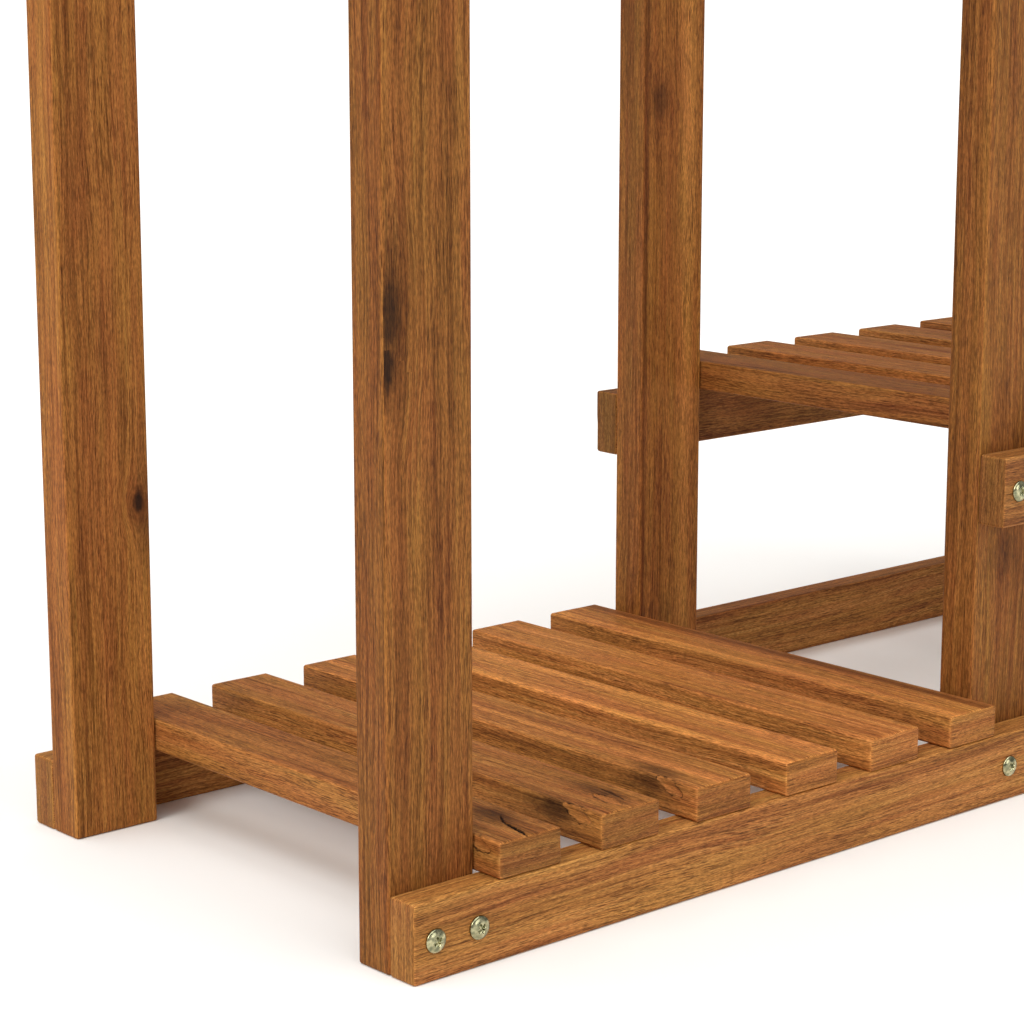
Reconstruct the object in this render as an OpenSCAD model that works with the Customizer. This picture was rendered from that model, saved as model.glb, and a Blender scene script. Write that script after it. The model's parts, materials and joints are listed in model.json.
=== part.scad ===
// Potting bench: three pairs of legs, long rails bolted outside them, slats laid front to back.
// The origin is on the floor, at the centre of the bench. +X runs to the right as one faces the
// bench, +Y runs to its back and +Z runs up.

/* [Timber] */
// Width of a leg along the bench
leg_w = 57; // [52:1:70]
// Thickness of a leg from front to back
leg_t = 25.5; // [24:0.5:35]
// Width of the stock that rails, slats and boards are cut from
stock_w = 43; // [40:1:50]
// Thickness of that stock
stock_t = 20; // [18:0.5:24]
// Radius of every rounded arris
edge_r = 2; // [1:0.25:3]

/* [Frame] */
// Clear width of each bay, between two pairs of legs
bay_w = 402; // [370:1:480]
// Depth over the legs, from the front face of the front ones to the back face of the back ones
frame_d = 317; // [280:1:450]
// Height of the worktop's surface
worktop_h = 800; // [700:5:900]
// Height of the mid shelf's rails above the floor
mid_rail_z = 172; // [120:1:400]

/* [Slats] */
// Number of slats in each of the two lower shelves
shelf_slats = 6; // [4:1:6]
// Number of slats in each bay of the worktop
worktop_slats = 7; // [4:1:7]
// Play between a slat and the leg beside it
fit_gap = 0.3; // [0.1:0.1:1]

/* [Upper shelf] */
// Overall height, to the surface of the upper shelf
top_h = 1100; // [1000:5:1300]
// Number of boards in the upper shelf
upper_boards = 3; // [2:1:4]
// Gap between those boards
upper_gap = 10; // [5:1:20]
// Gap between the worktop and the guard rail behind it
guard_gap = 5; // [2:1:40]

/* [Bolts] */
// Diameter of a bolt's shank
bolt_d = 6; // [5:0.5:6]
// Length of a bolt under its head
bolt_l = 35; // [32:1:38]
// Diameter of a bolt's domed head
head_d = 13; // [11:0.5:14]
// Height of that head
head_h = 3; // [2.5:0.1:4]
// Distance between the two bolts of a joint
bolt_gap = 29; // [26:1:30]
// Outer diameter of an insert nut
insert_d = 10; // [9:0.5:10]
// Length of an insert nut
insert_l = 12; // [10:0.5:12]

/* [Slat screws] */
// Diameter of a screw's shank
screw_d = 4; // [3.5:0.5:4.5]
// Length of a screw under its head
screw_l = 45; // [43:1:47]
// Diameter of a screw's flat head
screw_head_d = 8; // [7:0.5:8.5]
// How deep a screw reaches into the slat that it holds
screw_bite = 15; // [12:0.5:16]

/* [Hidden] */
$fn = 48;

overall_w = 3 * leg_w + 2 * bay_w;
col_pitch = leg_w + bay_w;
col_x = [for (i = [0:2]) -overall_w / 2 + i * col_pitch];
front_y = -frame_d / 2;
back_y = frame_d / 2;
rail_out = frame_d / 2 + stock_t;
slat_l = 2 * rail_out;

top_rail_z = worktop_h - stock_t - stock_w;
front_leg_h = worktop_h - stock_t;
back_leg_h = top_h - stock_t;
guard_z = worktop_h + guard_gap;
arm_z = back_leg_h - stock_w;
arm_l = upper_boards * stock_w + (upper_boards - 1) * upper_gap;

// Left faces of the three arms: inside the end legs, and on the right of the middle one
arm_x = [col_x[0] + leg_w, col_x[1] + leg_w, col_x[2] - stock_t];
// The side of each arm that its bolt heads are on, 1 for the right and -1 for the left
arm_out = [1, 1, -1];
arm_bolt_gap = stock_w / 2;
arm_bolt_y = back_y - leg_t / 2;

// A cleat's bolts sit lower than those of the rail behind it, so that their inserts miss each other
cleat_bolt_rise = 8;
cleat_bolt_z = top_rail_z + cleat_bolt_rise;

// How much wider a hole is than what goes in it: loose on a shank, tight on what it grips
loose = 0.4;
tight = 0.1;
// The straight rim under a bolt's dome, and the cross recess in it
rim_h = 0.6;
recess_w = 1.1;
recess_l = 6;
recess_deep = 2;
// A slat screw's head, and the wider hole that sinks it into the rail's underside
screw_head_h = 2.4;
sink_d = screw_head_d + 1;
sink_l = stock_w + screw_bite - screw_l;
// Overrun of a cut past the face that it opens
cut = 1;

ROWS = ["left", "middle", "right"];
LEGS = [for (side = ROWS, face = ["front", "back"]) str(face, "_leg_", side)];
RAILS = ["lower_front_rail", "lower_back_rail", "mid_front_rail", "mid_back_rail",
         "top_front_rail", "top_back_rail", "back_guard_rail"];
SHELVES = [for (shelf = ["lower", "mid"], i = [1:shelf_slats]) str(shelf, "_slat_", i)];
WORKTOP = [for (bay = ["left", "right"], i = [1:worktop_slats]) str("worktop_slat_", bay, "_", i)];
COLUMNS = [for (piece = ["worktop_column_slat_", "column_cleat_", "upper_arm_"], side = ROWS)
           str(piece, side)];
BOARDS = [for (i = [1:upper_boards]) str("upper_board_", i)];
FIXINGS = ["lower_rail_bolts", "mid_rail_bolts", "top_rail_bolts", "guard_rail_bolts",
           "cleat_bolts", "arm_bolts", "insert_nuts", "slat_screws"];

// Shelf slats touch the legs beside them, and worktop slats have the same gap on every side
shelf_pitch = (bay_w - 2 * fit_gap - stock_w) / (shelf_slats - 1);
worktop_gap = (bay_w - worktop_slats * stock_w) / (worktop_slats + 1);
// Left edge of slat i in a bay, front edge of upper board i, and the middles of a column's bolts
function shelf_slat_x(bay, i) = col_x[bay] + leg_w + fit_gap + (i - 1) * shelf_pitch;
function worktop_slat_x(bay, i) = col_x[bay] + leg_w + worktop_gap * i + stock_w * (i - 1);
function board_y(i) = back_y - arm_l + (i - 1) * (stock_w + upper_gap);
function bolt_x(col) = [for (s = [-1, 1]) col_x[col] + leg_w / 2 + s * bolt_gap / 2];

// Rail positions: [underside, first column, last column]
LOWER = [0, 0, 2];
MID = [mid_rail_z, 1, 2];
TOP = [top_rail_z, 0, 2];
GUARD = [guard_z, 0, 2];

// Middles of the slats that rest on each pair of rails, as [x, underside of the rail]
shelf_mids = concat(
    [for (i = [1:shelf_slats]) [shelf_slat_x(0, i) + stock_w / 2, LOWER[0]]],
    [for (i = [1:shelf_slats]) [shelf_slat_x(1, i) + stock_w / 2, MID[0]]],
    [for (bay = [0, 1], i = [1:worktop_slats]) [worktop_slat_x(bay, i) + stock_w / 2, TOP[0]]]);
column_mids = [for (x = col_x) [x + leg_w / 2, TOP[0]]];

// ---- shapes ----

module rounded_rectangle(a, b) {
    translate([edge_r, 0]) square([a - 2 * edge_r, b]);
    translate([0, edge_r]) square([a, b - 2 * edge_r]);
    for (x = [edge_r, a - edge_r], y = [edge_r, b - edge_r])
        translate([x, y]) circle(edge_r);
}

// A board with all its arrises rounded, standing on its lowest corner
module board(size) {
    intersection() {
        linear_extrude(size[2]) rounded_rectangle(size[0], size[1]);
        translate([0, size[1], 0]) rotate([90, 0, 0])
            linear_extrude(size[1]) rounded_rectangle(size[0], size[2]);
        rotate([90, 0, 90]) linear_extrude(size[0]) rounded_rectangle(size[1], size[2]);
    }
}

// Turns a shape made along +Z so that its +Z points out of the front, or out of the back
module facing(face) rotate([face == "front" ? 90 : -90, 0, 0]) children();

// A bolt with its head's seat at z = 0: the head is above it and the shank below
module bolt() {
    dome_h = head_h - rim_h;
    dome_r = (pow(head_d / 2, 2) + pow(dome_h, 2)) / (2 * dome_h);
    difference() {
        union() {
            cylinder(d = head_d, h = rim_h);
            intersection() {
                translate([0, 0, head_h - dome_r]) sphere(dome_r);
                translate([0, 0, rim_h]) cylinder(d = head_d, h = dome_h + cut);
            }
        }
        for (a = [0, 90])
            rotate(a) translate([-recess_l / 2, -recess_w / 2, head_h - recess_deep])
                cube([recess_l, recess_w, recess_deep + cut]);
    }
    translate([0, 0, -bolt_l]) cylinder(d = bolt_d, h = bolt_l);
}

// The holes that a bolt needs, from its seat down: through the rail, then into the leg
module rail_hole() translate([0, 0, -stock_t - cut])
    cylinder(d = bolt_d + loose, h = stock_t + 2 * cut);

module leg_hole() {
    translate([0, 0, -bolt_l - cut]) cylinder(d = bolt_d + loose, h = bolt_l + cut - stock_t);
    translate([0, 0, -stock_t - insert_l]) cylinder(d = insert_d + tight, h = insert_l + cut);
}

module insert_nut() translate([0, 0, -stock_t - insert_l]) difference() {
    cylinder(d = insert_d, h = insert_l);
    translate([0, 0, -cut]) cylinder(d = bolt_d + tight, h = insert_l + 2 * cut);
}

// A slat screw and its holes, measured from the underside of the rail that it goes up through
module slat_screw() {
    translate([0, 0, sink_l - screw_head_h]) cylinder(d = screw_head_d, h = screw_head_h);
    translate([0, 0, sink_l]) cylinder(d = screw_d, h = screw_l);
}

module rail_screw_hole() {
    translate([0, 0, -cut]) cylinder(d = sink_d, h = sink_l + cut);
    cylinder(d = screw_d + loose, h = stock_w + cut);
}

module slat_screw_hole() translate([0, 0, stock_w - cut])
    cylinder(d = screw_d + tight, h = screw_bite + cut + tight);

// ---- where fasteners go ----

module at_rail_bolts(rail, faces = ["front", "back"])
    for (face = faces, col = [rail[1]:rail[2]], x = bolt_x(col))
        translate([x, (face == "front" ? -1 : 1) * rail_out, rail[0] + stock_w / 2])
            facing(face) children();

module at_cleat_bolts()
    for (col = [0:2], x = bolt_x(col))
        translate([x, back_y - leg_t - stock_t, cleat_bolt_z]) facing("front") children();

module at_arm_bolts()
    for (i = [0:2], dz = [-1, 1])
        translate([arm_x[i] + (arm_out[i] > 0 ? stock_t : 0), arm_bolt_y,
                   arm_z + stock_w / 2 + dz * arm_bolt_gap / 2])
            rotate([0, 90 * arm_out[i], 0]) children();

module at_bolts() {
    for (rail = [LOWER, MID, TOP])
        at_rail_bolts(rail) children();
    at_rail_bolts(GUARD, ["back"]) children();
    at_cleat_bolts() children();
    at_arm_bolts() children();
}

module at_slat_screws() {
    for (m = shelf_mids, s = [-1, 1])
        translate([m[0], s * (rail_out - stock_t / 2), m[1]]) children();
    for (m = column_mids, y = [stock_t / 2 - rail_out, back_y - leg_t - stock_t / 2])
        translate([m[0], y, m[1]]) children();
}

module at_board_screws()
    for (x = arm_x, i = [1:upper_boards])
        translate([x + stock_t / 2, board_y(i) + stock_w / 2, arm_z]) children();

// ---- pieces ----

module leg(col, face) color("#9c6a38") difference() {
    translate([col_x[col], face == "front" ? front_y : back_y - leg_t, 0])
        board([leg_w, leg_t, face == "front" ? front_leg_h : back_leg_h]);
    for (rail = [LOWER, MID, TOP])
        at_rail_bolts(rail, [face]) leg_hole();
    if (face == "back") {
        at_rail_bolts(GUARD, [face]) leg_hole();
        at_cleat_bolts() leg_hole();
        at_arm_bolts() leg_hole();
    }
}

module rail(place, face) color("#a8713d") difference() {
    translate([col_x[place[1]], face == "front" ? -rail_out : back_y, place[0]])
        board([col_x[place[2]] + leg_w - col_x[place[1]], stock_t, stock_w]);
    at_rail_bolts(place, [face]) rail_hole();
    if (place != GUARD)
        at_slat_screws() rail_screw_hole();
}

module full_slat(x, rail_z) color("#b8763a") difference() {
    translate([x, -rail_out, rail_z + stock_w]) board([stock_w, slat_l, stock_t]);
    for (s = [-1, 1])
        translate([x + stock_w / 2, s * (rail_out - stock_t / 2), rail_z]) slat_screw_hole();
}

module column_slat(col) color("#b8763a") difference() {
    translate([col_x[col], -rail_out, front_leg_h])
        board([leg_w, rail_out + back_y - leg_t - fit_gap, stock_t]);
    at_slat_screws() slat_screw_hole();
}

module cleat(col) color("#a8713d") difference() {
    translate([col_x[col], back_y - leg_t - stock_t, top_rail_z]) board([leg_w, stock_t, stock_w]);
    at_cleat_bolts() rail_hole();
    at_slat_screws() rail_screw_hole();
}

module arm(i) color("#a8713d") difference() {
    translate([arm_x[i], back_y - arm_l, arm_z]) board([stock_t, arm_l, stock_w]);
    at_arm_bolts() rail_hole();
    at_board_screws() rail_screw_hole();
}

module upper_board(i) color("#b8763a") difference() {
    translate([-overall_w / 2, board_y(i), back_leg_h]) board([overall_w, stock_w, stock_t]);
    at_board_screws() slat_screw_hole();
}

module rail_bolts(rail, faces = ["front", "back"])
    color("#b9b48a") at_rail_bolts(rail, faces) bolt();

module cleat_bolts() color("#b9b48a") at_cleat_bolts() bolt();
module arm_bolts() color("#b9b48a") at_arm_bolts() bolt();
module insert_nuts() color("#b9b48a") at_bolts() insert_nut();

module slat_screws() color("#b9b48a") {
    at_slat_screws() slat_screw();
    at_board_screws() slat_screw();
}

// ---- assembly ----

for (col = [0:2], face = ["front", "back"])
    leg(col, face);

rail(LOWER, "front");  // lower_front_rail
rail(LOWER, "back");  // lower_back_rail
rail(MID, "front");  // mid_front_rail
rail(MID, "back");  // mid_back_rail
rail(TOP, "front");  // top_front_rail
rail(TOP, "back");  // top_back_rail
rail(GUARD, "back");  // back_guard_rail

for (i = [1:shelf_slats]) {
    full_slat(shelf_slat_x(0, i), LOWER[0]);
    full_slat(shelf_slat_x(1, i), MID[0]);
}

for (i = [1:worktop_slats]) {
    full_slat(worktop_slat_x(0, i), TOP[0]);
    full_slat(worktop_slat_x(1, i), TOP[0]);
}

for (col = [0:2]) {
    column_slat(col);
    cleat(col);
    arm(col);
}

for (i = [1:upper_boards])
    upper_board(i);

rail_bolts(LOWER);  // lower_rail_bolts
rail_bolts(MID);  // mid_rail_bolts
rail_bolts(TOP);  // top_rail_bolts
rail_bolts(GUARD, ["back"]);  // guard_rail_bolts
cleat_bolts();
arm_bolts();
insert_nuts();
slat_screws();
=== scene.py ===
"""Looks of the potting bench: oiled acacia boards, yellow zinc fasteners, a pale floor, soft studio light."""

import functools
import json
import math

import bpy
import numpy as np
from mathutils import Matrix, Vector


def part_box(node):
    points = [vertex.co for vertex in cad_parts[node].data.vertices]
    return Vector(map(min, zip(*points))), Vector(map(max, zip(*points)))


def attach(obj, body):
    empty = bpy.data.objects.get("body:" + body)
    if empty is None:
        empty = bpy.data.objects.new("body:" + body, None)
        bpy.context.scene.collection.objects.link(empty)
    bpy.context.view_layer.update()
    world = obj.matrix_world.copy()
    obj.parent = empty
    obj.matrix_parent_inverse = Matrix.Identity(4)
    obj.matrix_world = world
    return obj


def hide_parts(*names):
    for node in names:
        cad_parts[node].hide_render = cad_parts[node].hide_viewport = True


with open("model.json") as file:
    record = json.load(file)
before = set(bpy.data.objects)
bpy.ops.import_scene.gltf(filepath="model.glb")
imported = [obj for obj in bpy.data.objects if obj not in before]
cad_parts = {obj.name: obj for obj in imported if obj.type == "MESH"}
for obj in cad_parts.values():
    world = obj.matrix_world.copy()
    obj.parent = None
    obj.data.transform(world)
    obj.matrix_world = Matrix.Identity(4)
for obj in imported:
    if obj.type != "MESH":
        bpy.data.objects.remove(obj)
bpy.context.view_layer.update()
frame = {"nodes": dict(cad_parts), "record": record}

MM = 0.001
SLOTS = {row["node"]: row["material_slot"] for row in frame["record"]["subparts"]}


# ---------- camera ----------

camera = bpy.data.objects.new("camera", bpy.data.cameras.new("camera"))
camera.location = (-1.2908, -1.1618, 0.4978)
heading = math.radians(48.54)
downward = math.radians(11.335)
camera.rotation_euler = (math.pi / 2 - downward, 0, heading - math.pi / 2)
camera.data.lens = 94.06
camera.data.sensor_width = 36
camera.data.clip_start = 0.05
camera.data.clip_end = 900
bpy.context.scene.collection.objects.link(camera)
bpy.context.scene.camera = camera
bpy.context.scene.view_settings.view_transform = "Standard"


# ---------- making materials ----------

MATH = "ShaderNodeMath"
VECTOR = "ShaderNodeVectorMath"
RANGE = "ShaderNodeMapRange"
MIX = "ShaderNodeMix"
NOISE = "ShaderNodeTexNoise"


def linear(hex_colour):
    """Linear RGBA of an sRGB hex colour."""
    channels = [int(hex_colour[i:i + 2], 16) / 255 for i in (1, 3, 5)]
    return [c / 12.92 if c <= 0.04045 else ((c + 0.055) / 1.055) ** 2.4 for c in channels] + [1.0]


def put(tree, kind, inputs=(), out=0, **settings):
    """Adds a node with its settings and links, and gives one of its outputs. Inputs come in the
    order of the sockets, or by name or number in a dict; each is a value or another output."""
    node = tree.nodes.new(kind)
    for name, value in settings.items():
        setattr(node, name, value)
    for key, value in inputs.items() if isinstance(inputs, dict) else enumerate(inputs):
        if isinstance(value, bpy.types.NodeSocket):
            tree.links.new(value, node.inputs[key])
        else:
            node.inputs[key].default_value = value
    return node.outputs[out] if len(node.outputs) else None


def set_stops(ramp, stops):
    """Gives a colour ramp its stops, as pairs of a position and a hex colour."""
    while len(ramp.elements) < len(stops):
        ramp.elements.new(0.5)
    for element, (position, colour) in zip(ramp.elements, stops):
        element.position = position
        element.color = linear(colour)


def new_material(name):
    """An empty node material, and the function that adds nodes to it."""
    material = bpy.data.materials.new(name)
    material.use_nodes = True
    material.node_tree.nodes.clear()
    return material, functools.partial(put, material.node_tree)


# ---------- acacia ----------

def oiled_acacia(name, dark, middle, pale, gold):
    """Planed and oiled acacia. The eye sees brown bands along the board with fine lines in them,
    long thin dark pores, gold streaks of sapwood, knots that the grain flows round, and a low
    satin gloss that the fibres break up."""
    material, add = new_material(name)
    reads = ("grain", "tone", "knot", "smoke_and_shade", "scar", "streak")
    on_board = {read: add("ShaderNodeAttribute", out=1, attribute_name=read) for read in reads}
    parts = {read: add("ShaderNodeSeparateXYZ", [on_board[read]]).node.outputs for read in reads}
    lightness, gold_share, arris_wear_and_highlight = parts["tone"]

    def figure(place, along_mm, across_mm, layer, detail=2.0):
        """Noise from 0 to 1 with cells that long and wide, different in each layer."""
        cells = add(VECTOR, [place, (1 / along_mm, 1 / across_mm, 1), (layer, layer, layer)],
                    operation="MULTIPLY_ADD")
        return add(NOISE, {"Vector": cells, "Scale": 1.0, "Detail": detail, "Roughness": 0.55})

    # Millimetres along and round the board; the third number keeps the boards apart
    place = add(VECTOR, [on_board["grain"], (1000, 1000, 17.3)], operation="MULTIPLY")

    # Distance from a knot and from a smoke patch, in their own radii, with a ragged rim. Smoke patches are
    # smoky wood round knots and at board ends, and painted shade down the shaded sides of two legs.
    ragged = add(MATH, [figure(place, 9, 3, 9.1, 3.0), 0.9, -0.45], operation="MULTIPLY_ADD")
    flat_knot = add(VECTOR, [on_board["knot"], (1, 1, 0)], operation="MULTIPLY")
    knot_gap = add(VECTOR, [flat_knot], out=1, operation="LENGTH")
    knot_r = add(MATH, [knot_gap, ragged], operation="ADD")
    flat_smoke_and_shade = add(VECTOR, [on_board["smoke_and_shade"], (1, 1, 0)], operation="MULTIPLY")
    smoke_and_shade_gap = add(VECTOR, [flat_smoke_and_shade], out=1, operation="LENGTH")
    smoke_and_shade_r = add(MATH, [smoke_and_shade_gap, ragged], operation="ADD")

    # The grain wanders slowly, ripples a little, and bends round a knot
    wander = figure(place, 190, 50, 3.1, 1.0)
    ripple = add(MATH, [figure(place, 42, 10, 8.7, 1.0), 1.6], operation="MULTIPLY")
    sway = add(MATH, [wander, 10.0, ripple], operation="MULTIPLY_ADD")
    near = add(RANGE, [knot_gap, 4.0, 0.6, 0.0, -3.2], interpolation_type="SMOOTHSTEP")
    near = add(MATH, [near, parts["knot"][2]], operation="MULTIPLY")
    sway = add(MATH, [near, parts["knot"][1], sway], operation="MULTIPLY_ADD")
    place = add(VECTOR, [place, add("ShaderNodeCombineXYZ", {"Y": sway})], operation="ADD")

    # Broad bands, then finer lines inside them
    bands = add(MATH, [figure(place, 700, 13, 1.3), 0.36], operation="MULTIPLY")
    blend = add(MATH, [figure(place, 120, 1.9, 5.9, 3.0), 0.64, bands], operation="MULTIPLY_ADD")
    colour = add("ShaderNodeValToRGB", [blend])
    set_stops(colour.node.color_ramp, [(0.32, dark), (0.5, middle), (0.68, pale)])

    # Sapwood: the board's own share of gold, and its named streaks
    streaky = add(MATH, [figure(place, 500, 9, 7.7), 1.6, -0.8], operation="MULTIPLY_ADD")
    sapwood = add(RANGE, [figure(place, 1400, 8.5, 6.4, 1.0), 0.62, 0.71])
    sapwood = add(MATH, [sapwood, gold_share], operation="MULTIPLY")
    for side in (0, 1):
        gap = add(MATH, [parts["streak"][side], streaky], operation="ADD")
        gap = add(MATH, [gap], operation="ABSOLUTE")
        sapwood = add(MATH, [sapwood, add(RANGE, [gap, 1.5, 0.3, 0.0, 0.85])], operation="MAXIMUM")
    colour = add(MIX, {0: sapwood, 6: colour, 7: linear(gold)}, out=2, data_type="RGBA")

    # A dark heartwood stripe
    gap = add(MATH, [parts["streak"][2], streaky], operation="ADD")
    gap = add(MATH, [gap], operation="ABSOLUTE")
    stripe = add(RANGE, [gap, 1.5, 0.4, 0.0, 0.6])
    colour = add(MIX, {0: stripe, 6: colour, 7: linear("#4A2410")}, out=2, data_type="RGBA")

    # Open pores, crowded in some patches: at the most 12 mm by 0.6 mm, which is about twice as
    # wide as acacia's, because narrower ones would not show
    cells = add(VECTOR, [place, (1 / 17.0, 1 / 0.8, 1)], operation="MULTIPLY")
    pore_gap = add("ShaderNodeTexVoronoi", {"Vector": cells, "Scale": 1.0}, voronoi_dimensions="2D")
    crowd = add(RANGE, [figure(place, 60, 9, 4.4), 0.35, 0.65, 0.12, 0.36])
    pore_r = add(MATH, [pore_gap, crowd], operation="DIVIDE")
    pores = add(RANGE, [pore_r, 1.0, 0.55, 0.0, 0.74], interpolation_type="SMOOTHSTEP")
    colour = add(MIX, {0: pores, 6: colour, 7: linear("#52280F")}, out=2, data_type="RGBA")

    # Smoky patches and patches of painted shade, then knots: a brown halo and a near-black heart
    smoke_and_shade = add(RANGE, [smoke_and_shade_r, 1.1, 0.1, 0.0, 0.8], interpolation_type="SMOOTHSTEP")
    smoke_and_shade = add(MATH, [smoke_and_shade, parts["smoke_and_shade"][2]], operation="MULTIPLY")
    colour = add(MIX, {0: smoke_and_shade, 6: colour, 7: linear("#3A2010")}, out=2, data_type="RGBA")
    halo = add(RANGE, [knot_r, 2.6, 1.0, 0.0, 0.55], interpolation_type="SMOOTHSTEP")
    halo = add(MATH, [halo, parts["knot"][2]], operation="MULTIPLY")
    colour = add(MIX, {0: halo, 6: colour, 7: linear("#5E3215")}, out=2, data_type="RGBA")
    heart = add(RANGE, [knot_r, 1.3, 0.4, 0.0, 0.9], interpolation_type="SMOOTHSTEP")
    heart = add(MATH, [heart, parts["knot"][2]], operation="MULTIPLY")
    colour = add(MIX, {0: heart, 6: colour, 7: linear("#22150D")}, out=2, data_type="RGBA")

    # Torn grain: fresh orange wood inside a near-black rim; a crack is dark all through
    splinter = add(MATH, [figure(place, 3.5, 2.2, 6.6, 3.0), 1.5, -0.75], operation="MULTIPLY_ADD")
    torn_r = add(MATH, [splinter, parts["scar"][0]], operation="ADD")
    torn = add(RANGE, [torn_r, 1.1, 0.8])
    torn_colour = add(MIX, {0: parts["scar"][1], 6: linear("#B87A3E"), 7: linear("#24150B")},
                      out=2, data_type="RGBA")
    rim_gap = add(MATH, [add(MATH, [torn_r, 1.1], operation="SUBTRACT")], operation="ABSOLUTE")
    rim = add(RANGE, [rim_gap, 0.35, 0.05], interpolation_type="SMOOTHSTEP")
    rim = add(MATH, [rim, add(RANGE, [figure(place, 7, 4, 2.9), 0.4, 0.6, 0.1, 0.9])], operation="MULTIPLY")
    colour = add(MIX, {0: torn, 6: colour, 7: torn_colour}, out=2, data_type="RGBA")
    colour = add(MIX, {0: rim, 6: colour, 7: linear("#2A170B")}, out=2, data_type="RGBA")

    # Hair lines and short fibres run through everything, the hue drifts a little to red, and the
    # arrises are drawn paler, partly as rubbed wear and partly as a painted highlight. Real fibres are too
    # fine to show, so these are drawn coarser.
    hairs = add(RANGE, [figure(place, 34, 0.8, 3.6, 3.0), 0.34, 0.52, 0.62, 1.03])
    fibres = figure(place, 3.2, 0.58, 2.2, 4.0)
    fibre_light = add(RANGE, [fibres, 0.35, 0.65, 0.68, 1.36])
    # The arrises are drawn paler here: partly rubbed wear, partly a painted highlight.
    value = add(MATH, [arris_wear_and_highlight, 0.16, lightness], operation="MULTIPLY_ADD")
    value = add(MATH, [value, 1.0], operation="ADD")
    value = add(MATH, [add(MATH, [value, hairs], operation="MULTIPLY"), fibre_light], operation="MULTIPLY")
    blush = add(RANGE, [figure(place, 110, 12, 0.7, 1.0), 0.35, 0.65, 0.49, 0.499])
    colour = add("ShaderNodeHueSaturation", {"Hue": blush, "Value": value, "Color": colour})

    height = add(MATH, [fibres, 0.35], operation="MULTIPLY")
    height = add(MATH, [height, pores], operation="SUBTRACT")
    bump = add("ShaderNodeBump", {"Height": height, "Distance": 0.12 * MM, "Strength": 0.6})
    gloss = add(RANGE, [fibres, 0.3, 0.7, 0.5, 0.66])
    skin = add("ShaderNodeBsdfPrincipled", {
        "Base Color": colour, "Roughness": gloss, "IOR": 1.47, "Specular IOR Level": 0.12, "Normal": bump})
    add("ShaderNodeOutputMaterial", [skin])
    return material


# ---------- places from the frame ----------

def solids(node):
    """The points of each separate solid in a CAD node."""
    mesh = frame["nodes"][node].data
    points = np.array([v.co for v in mesh.vertices])
    _, same = np.unique(np.round(points / MM * 100).astype(np.int64), axis=0, return_inverse=True)
    same = same.reshape(-1)
    ends = same[np.array([e.vertices[:] for e in mesh.edges])]
    group = np.arange(same.max() + 1)
    while True:
        lowest = group[ends].min(1)
        merged = group.copy()
        np.minimum.at(merged, ends[:, 0], lowest)
        np.minimum.at(merged, ends[:, 1], lowest)
        if (merged == group).all():
            return [points[group[same] == g] for g in np.unique(group)]
        group = merged


# ---------- board meshes ----------

ARC = 3  # steps from the middle of an arris to the flat face
EDGE_R = 2.0 * MM
STEP = 6.0 * MM  # spacing of points on sound wood
FINE = 0.8 * MM  # spacing of points on torn wood
FAR = 9.0  # distance from a mark, in its own radii, where it has no effect
PLANING_DIP = 0.12 * MM  # how far the planed faces sink below the board's box at the most
SINK_R = 4.5 * MM
SCREW_HEAD_H = 2.4 * MM
SHARP = math.radians(50)  # edges that turn more than this stay sharp, such as a hole's rim
END_GRAIN = 1.7  # how much finer the figure is on a sawn end
END_SHADE = 0.15  # how much darker a sawn end is, as it drinks more oil


def stations(half, windows):
    """Places across one side of a rounded box: (share of the flat half, angle into the arris).
    They lie closer together inside the windows, where the surface is torn."""
    flat = half - EDGE_R
    places = [-flat]
    while places[-1] < flat:
        here = places[-1]
        inside = any(low <= here < high for low, high in windows)
        there = here + (FINE if inside else STEP)
        there = min([there] + [low for low, _ in windows if here + FINE / 2 < low])
        places.append(flat if flat - there < FINE / 2 else there)
    angles = [math.pi / 4 * k / ARC for k in range(1, ARC + 1)]
    low_arc = [(-1.0, -a) for a in reversed(angles)]
    high_arc = [(1.0, a) for a in angles]
    return low_arc + [(place / flat, 0.0) for place in places] + high_arc


def rounded_box(rows):
    """Six patches of a rounded box: for each point its share of the flat half-sizes and its
    direction from there, then the quads, and each quad's (normal axis, sign)."""
    shares, ways, quads, patches = [], [], [], []
    for normal in range(3):
        u, v = (normal + 1) % 3, (normal + 2) % 3
        for sign in (-1, 1):
            start = len(shares)
            for share_u, angle_u in rows[u]:
                for share_v, angle_v in rows[v]:
                    share, way = np.zeros(3), np.zeros(3)
                    share[normal], share[u], share[v] = sign, share_u, share_v
                    way[normal], way[u], way[v] = sign, math.tan(angle_u), math.tan(angle_v)
                    shares.append(share)
                    ways.append(way / np.linalg.norm(way))
            count_v = len(rows[v])
            for i in range(len(rows[u]) - 1):
                for j in range(count_v - 1):
                    a = start + i * count_v + j
                    quad = [a, a + count_v, a + count_v + 1, a + 1]
                    quads.append(quad if sign > 0 else quad[::-1])
                    patches.append((normal, sign))
    return np.array(shares), np.array(ways), np.array(quads), np.array(patches)


def waves(seed, *phases):
    """A smooth unevenness from 0 to 1: a few crossing sine waves set by the seed."""
    rng = np.random.default_rng(seed)
    total = 0
    for _ in range(5):
        lengths = rng.uniform(0.6, 2.4, len(phases))
        angle = rng.uniform(0, 2 * math.pi)
        for phase, length in zip(phases, lengths):
            angle = angle + phase / length
        total = total + np.sin(angle)
    return 0.5 + total / 10


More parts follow.
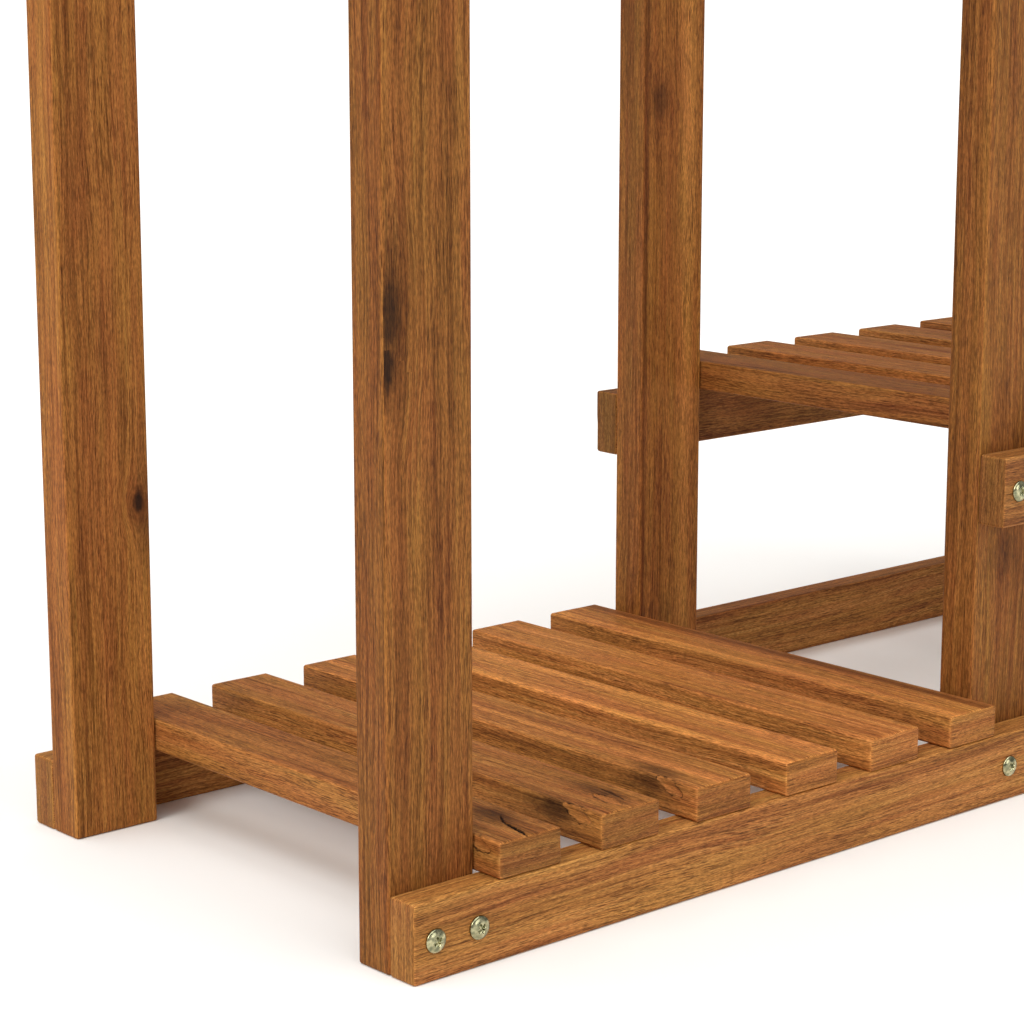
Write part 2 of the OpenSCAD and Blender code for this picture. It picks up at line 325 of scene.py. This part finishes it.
def round_the_section(corners, patches, half, order, seed):
    """For each quad's corners, metres along the board, metres round its section, and its seed.
    Zero round is the middle of the broad face on the positive side."""
    along, width, thick = order
    quarter = half[width] + half[thick]
    grain = np.zeros(corners.shape)
    grain[..., 2] = seed
    for axis in range(3):
        for sign in (-1, 1):
            mine = (patches[:, 0] == axis) & (patches[:, 1] == sign)
            p = corners[mine]
            if axis == thick:
                around = p[..., width] if sign > 0 else 2 * quarter - p[..., width]
            elif axis == width:
                around = quarter - p[..., thick] if sign > 0 else p[..., thick] - quarter
            else:
                around = p[..., thick] * END_GRAIN + 0.3
                grain[mine, :, 2] = seed + sign / 2
            grain[mine, :, 0] = p[..., width] * END_GRAIN if axis == along else p[..., along]
            grain[mine, :, 1] = around
    return grain


def spots(grain, on_side, marks):
    """For each corner, its place from the nearest mark in the mark's own radii, and the strength.
    A mark is (along, around, radius along, radius around, strength), in millimetres."""
    out = np.full(grain.shape, (FAR, FAR, 0.0))
    nearest = np.full(len(grain), FAR)
    for along, around, long_r, wide_r, strength in marks:
        gap = (grain[..., :2] - np.array([along, around]) * MM) / (np.array([long_r, wide_r]) * MM)
        middle = np.linalg.norm(gap.mean(1), axis=1)
        take = on_side & (middle < nearest)
        nearest[take] = middle[take]
        out[take, :, :2] = gap[take]
        out[take, :, 2] = strength
    return out


def scar_places(points, scars):
    """For each point, its distance from the nearest scar in the scar's own radii, how dark the
    scar is, and how deep it cuts the point, in metres. A scar is (start, end, radius, depth, dark)."""
    out = np.full(points.shape, (FAR, 0.0, 0.0))
    for start, end, radius, depth, dark in scars:
        start, run = np.array(start) * MM, (np.array(end) - np.array(start)) * MM
        share = np.clip((points - start) @ run / (run @ run), 0, 1)
        gap = np.linalg.norm(points - start - share[..., None] * run, axis=-1)
        gap = gap / (radius * MM * (0.45 + 0.55 * np.sin(math.pi * share)))
        closer = gap < out[..., 0]
        out[closer, 0] = gap[closer]
        out[closer, 1] = dark
        out[closer, 2] = depth * MM * np.clip(1 - gap[closer] ** 2, 0, 1)
    return out


def board(name, box, seed, tone, knots=(), smoke_and_shade=(), scars=(), gold=(), stripe=None):
    """A planed board in a box, its arrises rounded by hand and a little uneven. Corner attributes
    say where each point lies on the board and near its marks, for the wood to be drawn there."""
    low, high = np.array(box[0]), np.array(box[1])
    centre, half = (low + high) / 2, (high - low) / 2
    order = np.argsort(-half)
    windows = [[(min(s[0][i], s[1][i]) * MM - 2 * s[2] * MM, max(s[0][i], s[1][i]) * MM + 2 * s[2] * MM)
                for s in scars] for i in range(3)]
    shares, ways, quads, patches = rounded_box([stations(half[i], windows[i]) for i in range(3)])
    ideal = shares * (half - EDGE_R) + EDGE_R * ways

    # Each arris has a radius of its own that changes a little along the board
    length = ideal[:, order[0]]
    corner = np.sign(shares[:, order[1]]) + 3 * np.sign(shares[:, order[2]])
    radius = (EDGE_R * (0.72 + 0.45 * waves(seed, length / 0.05, corner * 1.7)))[:, None]
    sunk = PLANING_DIP * waves(seed + 500, length / 0.06, corner * 2.1)[:, None]
    cut = scar_places(ideal, scars)[:, 2:]
    places = shares * (half - radius) + ways * (radius - sunk - cut)

    # What the wood reads at each corner
    corners = ideal[quads]
    grain = round_the_section(corners, patches, half, order, seed)
    on_side = patches[:, 0] != order[0]
    # How far each corner lies into an arris; the wood draws the arrises paler, partly as rubbed wear and
    # partly as a painted highlight.
    steep = 1 - np.abs(ways[quads]).max(-1)
    lightness = np.where(on_side, tone[0], tone[0] - END_SHADE)[:, None] + np.zeros(steep.shape)
    reads = {
        "grain": grain,
        "tone": np.stack([lightness, np.full(steep.shape, tone[1]), steep * 3.4], -1),
        "knot": spots(grain, on_side, knots),
        "smoke_and_shade": spots(grain, on_side, smoke_and_shade),
        "scar": scar_places(corners, scars),
        "streak": np.full(grain.shape, FAR),
    }
    lines = list(gold) + [(FAR, 0.01)] * (2 - len(gold)) + [stripe or (FAR * 1000, 1)]
    for i, (around, half_width) in enumerate(lines):
        reads["streak"][on_side, :, i] = (grain[on_side, :, 1] - around * MM) / (half_width * MM)

    # Join the six patches into one closed skin
    keys = np.round(ideal * 1e6).astype(np.int64)
    _, first, joined = np.unique(keys, axis=0, return_index=True, return_inverse=True)
    mesh = bpy.data.meshes.new(name)
    mesh.from_pydata((places[first] + centre).tolist(), [], joined.reshape(-1)[quads].tolist())
    for read, values in reads.items():
        attribute = mesh.attributes.new(read, "FLOAT_VECTOR", "CORNER")
        attribute.data.foreach_set("vector", values.reshape(-1))
    mesh.shade_smooth()
    piece = bpy.data.objects.new(name, mesh)
    bpy.context.scene.collection.objects.link(piece)
    heads = [head for head in SCREW_HEADS if (low < head).all() and (head < high).all()]
    if heads:
        sink_screws(piece, low[2], heads, seed)
    shading = piece.modifiers.new("even_shading", "WEIGHTED_NORMAL")
    shading.keep_sharp = True
    return piece


# ---------- sunk screw holes ----------

# The middle of each screw head's lower face
SCREW_HEADS = [np.append((p.min(0) + p.max(0))[:2] / 2, p[:, 2].min()) for p in solids("slat_screws")]


def sink_screws(piece, underside, heads, seed):
    """Bores a hole from a board's underside up to the shoulder of each screw head. The walls read
    as plain wood, far from any mark, and are drawn darker."""
    turns = 40
    angles = np.arange(turns) * 2 * math.pi / turns
    ring = np.stack([np.cos(angles), np.sin(angles)], -1) * SINK_R
    points, faces = [], []
    for head in heads:
        start = len(points)
        for z in (underside - MM, head[2] + SCREW_HEAD_H):
            points += [(head[0] + x, head[1] + y, z) for x, y in ring]
        faces += [(start + i, start + (i + 1) % turns, start + turns + (i + 1) % turns, start + turns + i)
                  for i in range(turns)]
        faces.append(tuple(start + i for i in reversed(range(turns))))
        faces.append(tuple(start + turns + i for i in range(turns)))
    mesh = bpy.data.meshes.new("sunk_holes")
    mesh.from_pydata(points, [], faces)
    reads = {"tone": (-0.3, 0, 0), "knot": (FAR, FAR, 0), "smoke_and_shade": (FAR, FAR, 0),
             "scar": (FAR, 0, 0), "streak": (FAR, FAR, FAR)}
    for read, value in reads.items():
        attribute = mesh.attributes.new(read, "FLOAT_VECTOR", "CORNER")
        attribute.data.foreach_set("vector", value * len(mesh.loops))
    grain = mesh.attributes.new("grain", "FLOAT_VECTOR", "CORNER")
    for loop in mesh.loops:
        x, y, z = mesh.vertices[loop.vertex_index].co
        grain.data[loop.index].vector = (x + y, z, seed)
    cutter = bpy.data.objects.new("sunk_holes", mesh)
    bpy.context.scene.collection.objects.link(cutter)
    bore = piece.modifiers.new("bore", "BOOLEAN")
    bore.object = cutter
    bore.solver = "EXACT"
    depsgraph = bpy.context.evaluated_depsgraph_get()
    piece.data = bpy.data.meshes.new_from_object(
        piece.evaluated_get(depsgraph), preserve_all_data_layers=True, depsgraph=depsgraph)
    piece.data.set_sharp_from_angle(angle=SHARP)
    piece.modifiers.remove(bore)
    bpy.data.objects.remove(cutter)


# ---------- the boards ----------

WOODS = {
    "leg_timber": oiled_acacia("oiled_acacia_legs", "#6C4019", "#98632D", "#AC7838", "#BC8440"),
    "rail_timber": oiled_acacia("oiled_acacia_rails", "#804D25", "#B27A3D", "#C5904C", "#CE964E"),
    "slat_timber": oiled_acacia("oiled_acacia_slats", "#7A4921", "#B07539", "#C58C49", "#D28F48"),
}

# Marks of single boards, in millimetres from the board's middle; tone is (lightness, share of gold)
MARKS = {
    "back_leg_left": {
        "tone": (0.1, 0.2),
        "knots": [(-344, 62, 7, 4.2, 1.0)],
        "smoke_and_shade": [(-350, 58, 46, 10, 0.7), (-15, 108, 40, 7, 0.5)],
    },
    "front_leg_left": {
        "tone": (-0.13, 0.1),
        "knots": [(-53, 108, 20, 8, 0.8), (-78, 110, 15, 7, 0.95)],
        # The smoke patch 900 mm long runs down one whole side of the leg and is painted shade on that side;
        # the other patch is smoky wood round the knots.
        "smoke_and_shade": [(-45, 106, 60, 10, 0.4), (0, -41, 900, 18, 0.16)],
    },
    "back_leg_middle": {
        "tone": (0.2, 0.5),
        "knots": [(-124, 96, 12, 8, 0.5)],
        # This smoke patch runs down one whole side of the leg and is painted shade on that side.
        "smoke_and_shade": [(0, -41, 1200, 18, 0.6)],
        "stripe": (110, 3.5),
        "gold": [(70, 7)],
    },
    "front_leg_middle": {"tone": (-0.15, 0.2), "knots": [(-240, 84, 14, 7, 0.35)]},
    "lower_front_rail": {"tone": (-0.05, 0.2)},
    # This rail lies inside, behind other parts: its darker tone is partly its own and partly painted shade.
    "lower_back_rail": {"tone": (-0.16, 0.1)},
    "mid_front_rail": {"tone": (-0.26, 0.1)},
    # This rail lies under the middle shelf: its darker tone is partly its own and partly painted shade of the
    # shelf.
    "mid_back_rail": {"tone": (-0.36, 0.1)},
    "mid_slat_1": {"tone": (-0.22, 0.3)},
    "lower_slat_1": {
        "tone": (-0.2, 0.2),
        "scars": [
            ((4, -151, 10), (-2, -178, 10), 1.1, 1.8, 1.0),
            ((9, -144, 10), (4, -152, 10), 0.7, 0.8, 1.0),
            ((-21.5, -152, 8), (-21.5, -169, 4), 3.4, 1.0, 0.0),
        ],
        "smoke_and_shade": [(-138, 8, 26, 10, 0.85), (-143, -26, 24, 9, 0.6)],
    },
    "lower_slat_2": {
        "tone": (-0.14, 0.3),
        "scars": [
            ((1, -149, 10), (-1, -170, 10), 3.6, 1.0, 0.0),
            ((11, -141, 10), (7, -165, 10), 0.8, 0.6, 0.9),
            ((-21.5, -149, 9), (-21.5, -168, 3.8), 3.6, 1.0, 0.0),
        ],
        "smoke_and_shade": [(-146, 7, 34, 9, 0.85), (-143, -26, 26, 10, 0.95)],
    },
    "lower_slat_3": {
        "tone": (-0.04, 0.5),
        "scars": [((-21.5, -148, 9.5), (-21.5, -165, 3.5), 3.6, 1.0, 0.0)],
        "smoke_and_shade": [(-140, -14, 30, 9, 0.85), (-142, -27, 28, 10, 0.8)],
        "gold": [(-3, 3.5)],
    },
    "lower_slat_4": {"tone": (0.1, 0.3), "gold": [(-19, 4), (15, 4)]},
    "lower_slat_5": {"tone": (0.14, 0.2)},
    "lower_slat_6": {"tone": (0.05, 0.2), "gold": [(-15, 3.5)], "stripe": (14, 5)},
}


def by_chance(seed, half_length):
    """Marks for a board that has none of its own: a slightly different tone, and sometimes a knot."""
    rng = np.random.default_rng(seed + 900)
    marks = {"tone": (rng.uniform(-0.1, 0.1), rng.uniform(0.1, 0.9))}
    knot = (rng.uniform(-0.8, 0.8) * half_length, rng.uniform(-20, 80), rng.uniform(6, 12), rng.uniform(3, 7))
    if rng.random() < 0.35:
        marks["knots"] = [(*knot, rng.uniform(0.4, 1.0))]
        marks["smoke_and_shade"] = [(knot[0], knot[1], knot[2] * 4, knot[3] * 1.6, 0.5)]
    return marks


for number, node in enumerate(sorted(frame["nodes"])):
    slot = SLOTS[node]
    if slot in WOODS:
        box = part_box(node)
        longest = max(high - low for low, high in zip(*box))
        marks = MARKS.get(node) or by_chance(number, longest / 2 / MM)
        piece = board(node + "_board", box, number + 1, **marks)
        piece.data.materials.append(WOODS[slot])
        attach(piece, "root")
        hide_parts(node)


# ---------- fasteners ----------

def yellow_zinc_plate():
    """Steel plated with zinc and passivated pale yellow. The eye sees a bright metal that wanders
    between straw and grey-green, with a faint orange-peel skin under sharp highlights."""
    material, add = new_material("yellow_zinc_plate")
    spot = add("ShaderNodeTexCoord", out=3)
    cloud = add(NOISE, {"Vector": spot, "Scale": 1 / (3 * MM), "Detail": 3.0})
    peel = add(NOISE, {"Vector": spot, "Scale": 1 / (0.7 * MM), "Detail": 2.0})
    tones = add("ShaderNodeValToRGB", [cloud])
    set_stops(tones.node.color_ramp, [(0.35, "#7C7E64"), (0.5, "#A09E7C"), (0.66, "#CCC69E")])
    gloss = add(RANGE, [cloud, 0.3, 0.7, 0.16, 0.28])
    bump = add("ShaderNodeBump", {"Height": peel, "Distance": 0.05 * MM, "Strength": 0.3})
    skin = add("ShaderNodeBsdfPrincipled", {
        "Base Color": tones, "Metallic": 1.0, "Roughness": gloss, "Normal": bump})
    add("ShaderNodeOutputMaterial", [skin])
    return material


BOLT_R = 3.0 * MM


def dome_bolt(head_r, head_h, shank_r, shank_l):
    """A cross-recess bolt with a domed head, its head's underside at the origin, pointing along -Z:
    rings of points, as (radius, height), and the recess cut into the head's crown."""
    rim = 0.18 * head_h
    roundness = 0.55
    crown = [0.0] + [head_r * k / 24 for k in range(1, 24)] + [head_r * 0.985]
    rings = [(r, rim + (head_h - rim) * (1 - (r / head_r) ** 2) ** roundness) for r in crown]
    rings += [(head_r, rim), (head_r, 0.12 * rim), (head_r * 0.98, 0.0), (shank_r, 0.0)]
    thread = [(shank_r * (1 - 0.12 * (k % 2)), -shank_l * (0.4 + 0.54 * k / 24)) for k in range(25)]
    rings += thread + [(shank_r * 0.75, -shank_l), (0.0, -shank_l)]
    turns = 64
    angles = np.arange(turns) * 2 * math.pi / turns
    points = np.array([[(r * math.cos(a), r * math.sin(a), z) for a in angles] for r, z in rings])
    x, y = np.abs(points[..., 0]), np.abs(points[..., 1])
    wide, reach, deep = 0.13 * head_r, 0.46 * head_r, 0.62 * head_h
    slots = [np.clip(1.5 - a / wide, 0, 1) * np.clip((reach - b) / wide, 0, 1) for a, b in ((x, y), (y, x))]
    on_crown = np.arange(len(rings))[:, None] < len(crown)
    points[..., 2] -= on_crown * np.maximum(*slots) * deep
    quads = []
    for i in range(0, (len(rings) - 1) * turns, turns):
        for j in range(turns):
            beside = (j + 1) % turns
            quads.append((i + j, i + turns + j, i + turns + beside, i + beside))
    return points.reshape(-1, 3), np.array(quads)


def bolts(node):
    """Every bolt of a CAD node as one piece, each turned by hand to its own angle."""
    rng = np.random.default_rng(len(node))
    places, quads = [], []
    for points in solids(node):
        low, high = points.min(0), points.max(0)
        middle = (low + high) / 2
        axis = int(np.argmax(high - low))
        across = [i for i in range(3) if i != axis]
        gaps = np.linalg.norm((points - middle)[:, across], axis=1)
        head_r = gaps.max()
        rim = points[gaps > 0.95 * head_r][:, axis]
        out = 1 if rim.mean() > middle[axis] else -1
        seat, top, tip = (rim.min(), high[axis], low[axis]) if out > 0 else (rim.max(), low[axis], high[axis])
        bolt, faces = dome_bolt(head_r, abs(top - seat), BOLT_R, abs(seat - tip))
        direction = Vector([out if i == axis else 0 for i in range(3)])
        turn = direction.to_track_quat("Z", "Y").to_matrix() @ Matrix.Rotation(rng.uniform(0, 6.3), 3, "Z")
        base = middle.copy()
        base[axis] = seat
        quads.append(faces + sum(len(p) for p in places))
        places.append(bolt @ np.array(turn).T + base)
    mesh = bpy.data.meshes.new(node + "_plated")
    mesh.from_pydata(np.concatenate(places).tolist(), [], np.concatenate(quads).tolist())
    mesh.validate()
    mesh.shade_smooth()
    piece = bpy.data.objects.new(node + "_plated", mesh)
    bpy.context.scene.collection.objects.link(piece)
    weld = piece.modifiers.new("closed_ends", "WELD")
    weld.merge_threshold = 0.01 * MM
    return piece


zinc = yellow_zinc_plate()
for node, thing in frame["nodes"].items():
    if node.endswith("_bolts"):
        piece = bolts(node)
        piece.data.materials.append(zinc)
        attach(piece, "root")
        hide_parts(node)
    elif SLOTS[node] == "zinc_fasteners":
        thing.data.materials.clear()
        thing.data.materials.append(zinc)


# ---------- floor and light ----------

def sun(name, heading, elevation, strength, spread, colour):
    """A broad soft light from far away, in degrees of heading, height and spread."""
    lamp = bpy.data.lights.new(name, "SUN")
    lamp.energy = strength
    lamp.angle = math.radians(spread)
    lamp.color = linear(colour)[:3]
    holder = bpy.data.objects.new(name, lamp)
    flat = math.cos(math.radians(elevation))
    towards = Vector((flat * math.cos(math.radians(heading)), flat * math.sin(math.radians(heading)),
                      math.sin(math.radians(elevation))))
    holder.rotation_euler = (-towards).to_track_quat("-Z", "Y").to_euler()
    bpy.context.scene.collection.objects.link(holder)


bpy.ops.mesh.primitive_plane_add(size=600, location=(0, 0, 0))
floor = bpy.context.object
floor.name = "floor"
floor_paint, add = new_material("matt_white_floor")
add("ShaderNodeOutputMaterial", [add("ShaderNodeBsdfDiffuse", {"Color": linear("#F8F8F6")})])
floor.data.materials.append(floor_paint)

world = bpy.data.worlds.new("studio")
world.use_nodes = True
world.node_tree.nodes.clear()
sky = put(world.node_tree, "ShaderNodeBackground", {"Color": linear("#FFFFFF"), "Strength": 0.31})
put(world.node_tree, "ShaderNodeOutputWorld", [sky])
bpy.context.scene.world = world
sun("overhead", 200, 80, 2.45, 70, "#FFFFFF")
sun("key", 190, 36, 1.2, 28, "#FFF9F0")
# Low in front of the long side, so that each bolt's dome catches it
sun("glint", 278, 20, 0.48, 28, "#FFFFFF")
